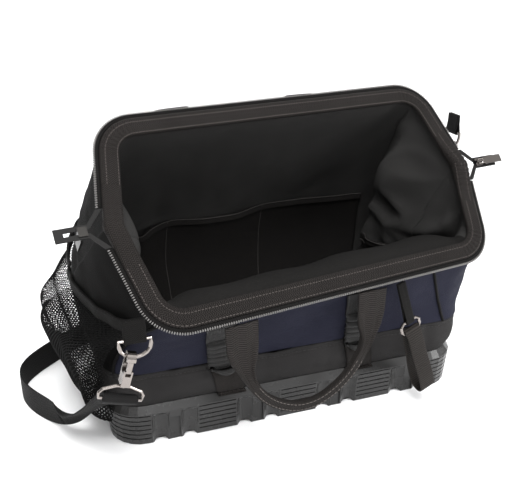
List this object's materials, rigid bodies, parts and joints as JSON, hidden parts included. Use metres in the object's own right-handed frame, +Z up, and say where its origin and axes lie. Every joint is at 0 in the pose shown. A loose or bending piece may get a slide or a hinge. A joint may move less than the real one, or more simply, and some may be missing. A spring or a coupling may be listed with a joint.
{
  "type": "tool bag",
  "caption": "Wide-mouth tool bag on a ribbed moulded base, with hinged wire-framed zip mouth, webbing handles, net end pocket and hooked shoulder strap.",
  "frame": {"origin": "middle of the base's underside, on the floor", "axes": "+X along the bag towards its right end, -Y towards its front, +Z up"},
  "size_m": [0.569, 0.3334, 0.3359],
  "materials": {
    "moulded_plastic": "satin moulded, charcoal",
    "band_cloth": "coated woven, charcoal",
    "navy_cloth": "coated woven, dark navy",
    "lining_cloth": "plain woven, black",
    "webbing": "herringbone webbing, brownish black",
    "netting": "open knitted net, black",
    "board": "stiffening board, covered",
    "zip_coil": "nylon coil on woven tape",
    "nickel": "bright nickel plate",
    "gunmetal": "dark plated zinc",
    "frame_steel": "drawn wire"
  },
  "bodies": {
    "bag_body": {"base_tray": "moulded_plastic", "base_board": "board", "lower_band": "band_cloth", "front_panel": "navy_cloth", "back_panel": "navy_cloth", "left_end_panel": "navy_cloth", "right_end_panel": "navy_cloth", "inner_back_pocket": "lining_cloth", "inner_end_pocket": "lining_cloth", "inner_front_pocket": "lining_cloth", "front_lining": "lining_cloth", "mesh_pocket": "netting", "mesh_pocket_binding": "webbing", "front_webbing_left": "webbing", "front_webbing_right": "webbing", "back_webbing_left": "webbing", "back_webbing_right": "webbing", "shoulder_strap": "webbing", "left_hinge_rivet": "frame_steel", "right_hinge_rivet": "frame_steel", "left_zip_end": "webbing", "right_zip_end": "webbing"},
    "front_frame": {"front_frame": "frame_steel", "front_frame_sleeve": "webbing", "front_zip_chain": "zip_coil", "front_ring_tab": "webbing", "tool_loop_tab": "webbing"},
    "back_frame": {"back_frame": "frame_steel", "back_frame_sleeve": "webbing", "back_zip_chain": "zip_coil", "back_ring_tab": "webbing"},
    "front_handle": {"front_handle": "webbing"},
    "back_handle": {"back_handle": "webbing"},
    "front_ring": {"front_ring": "nickel"},
    "back_ring": {"back_ring": "nickel"},
    "front_hook": {"front_hook_body": "nickel"},
    "back_hook": {"back_hook_body": "nickel"},
    "front_gate": {"front_hook_gate": "nickel"},
    "back_gate": {"back_hook_gate": "nickel"},
    "front_eye": {"front_strap_eye": "nickel"},
    "back_eye": {"back_strap_eye": "nickel"},
    "left_slider": {"left_slider": "gunmetal"},
    "right_slider": {"right_slider": "gunmetal"},
    "left_pull": {"left_pull": "gunmetal"},
    "right_pull": {"right_pull": "gunmetal"},
    "tool_loop": {"tool_loop_ring": "nickel", "tool_loop_webbing": "webbing"}
  },
  "joints": [
    {"name": "front_frame_fold", "type": "hinge", "parent": "bag_body", "child": "front_frame", "pos_m": [0.013, -0.086, 0.252], "axis": [-0.9871, -0.1599, 0], "range_deg": [0, 132], "deforming": ["shoulder_strap"]},
    {"name": "back_frame_fold", "type": "hinge", "parent": "bag_body", "child": "back_frame", "pos_m": [0.013, -0.086, 0.252], "axis": [0.9871, 0.1599, 0], "range_deg": [0, 36], "deforming": ["shoulder_strap"]},
    {"name": "front_handle_swing", "type": "hinge", "parent": "front_frame", "child": "front_handle", "pos_m": [-0.01277, -0.16459, 0.16608], "axis": [-0.9871, -0.1599, 0], "range_deg": [0, 110]},
    {"name": "back_handle_swing", "type": "hinge", "parent": "back_frame", "child": "back_handle", "pos_m": [-0.03694, -0.01531, 0.33404], "axis": [-0.9871, -0.1599, 0], "range_deg": [-130, 0]},
    {"name": "front_ring_swing", "type": "hinge", "parent": "front_frame", "child": "front_ring", "pos_m": [-0.18205, -0.17773, 0.16907], "axis": [-1, 0, 0], "range_deg": [0, 60], "deforming": ["shoulder_strap"]},
    {"name": "back_ring_swing", "type": "hinge", "parent": "back_frame", "child": "back_ring", "pos_m": [0.23317, -0.00302, 0.27905], "axis": [0, -1, 0], "range_deg": [0, 60], "deforming": ["shoulder_strap"]},
    {"name": "front_hook_swing", "type": "hinge", "parent": "front_ring", "child": "front_hook", "pos_m": [-0.18679, -0.17773, 0.15277], "axis": [-0.9563, 0, 0.2924], "range_deg": [0, 35], "deforming": ["shoulder_strap"]},
    {"name": "back_hook_swing", "type": "hinge", "parent": "back_ring", "child": "back_hook", "pos_m": [0.23317, -0.00302, 0.26205], "axis": [0, -1, 0], "range_deg": [0, 35], "deforming": ["shoulder_strap"]},
    {"name": "front_gate_open", "type": "hinge", "parent": "front_hook", "child": "front_gate", "pos_m": [-0.19062, -0.18303, 0.14024], "axis": [-0.9563, 0, 0.2924], "range_deg": [0, 20], "stiffness_Nm_per_rad": 0.02},
    {"name": "front_eye_swivel", "type": "hinge", "parent": "front_hook", "child": "front_eye", "pos_m": [-0.19478, -0.17773, 0.12666], "axis": [0.2924, 0, 0.9563], "continuous": true, "deforming": ["shoulder_strap"]},
    {"name": "back_gate_open", "type": "hinge", "parent": "back_hook", "child": "back_gate", "pos_m": [0.23847, -0.00302, 0.24895], "axis": [0, -1, 0], "range_deg": [0, 20], "stiffness_Nm_per_rad": 0.02},
    {"name": "back_eye_swivel", "type": "hinge", "parent": "back_hook", "child": "back_eye", "pos_m": [0.23317, -0.00302, 0.23475], "axis": [0, 0, 1], "continuous": true, "deforming": ["shoulder_strap"]},
    {"name": "left_slider_run", "type": "slide", "parent": "bag_body", "child": "left_slider", "axis": [-0.9871, -0.1599, 0], "range_m": [0, 0.012]},
    {"name": "left_pull_flip", "type": "hinge", "parent": "left_slider", "child": "left_pull", "pos_m": [-0.21374, -0.11994, 0.24952], "axis": [0.107, -0.6605, -0.7431], "range_deg": [-90, 10]},
    {"name": "right_slider_run", "type": "slide", "parent": "bag_body", "child": "right_slider", "axis": [0.9871, 0.1599, 0], "range_m": [0, 0.012]},
    {"name": "right_pull_flip", "type": "hinge", "parent": "right_slider", "child": "right_pull", "pos_m": [0.23974, -0.05206, 0.25448], "axis": [0.107, -0.6605, -0.7431], "range_deg": [0, 150]},
    {"name": "tool_loop_swing", "type": "hinge", "parent": "front_frame", "child": "tool_loop", "pos_m": [0.1091, -0.14485, 0.11853], "axis": [-0.9388, -0.1521, -0.309], "range_deg": [0, 60]}
  ]
}
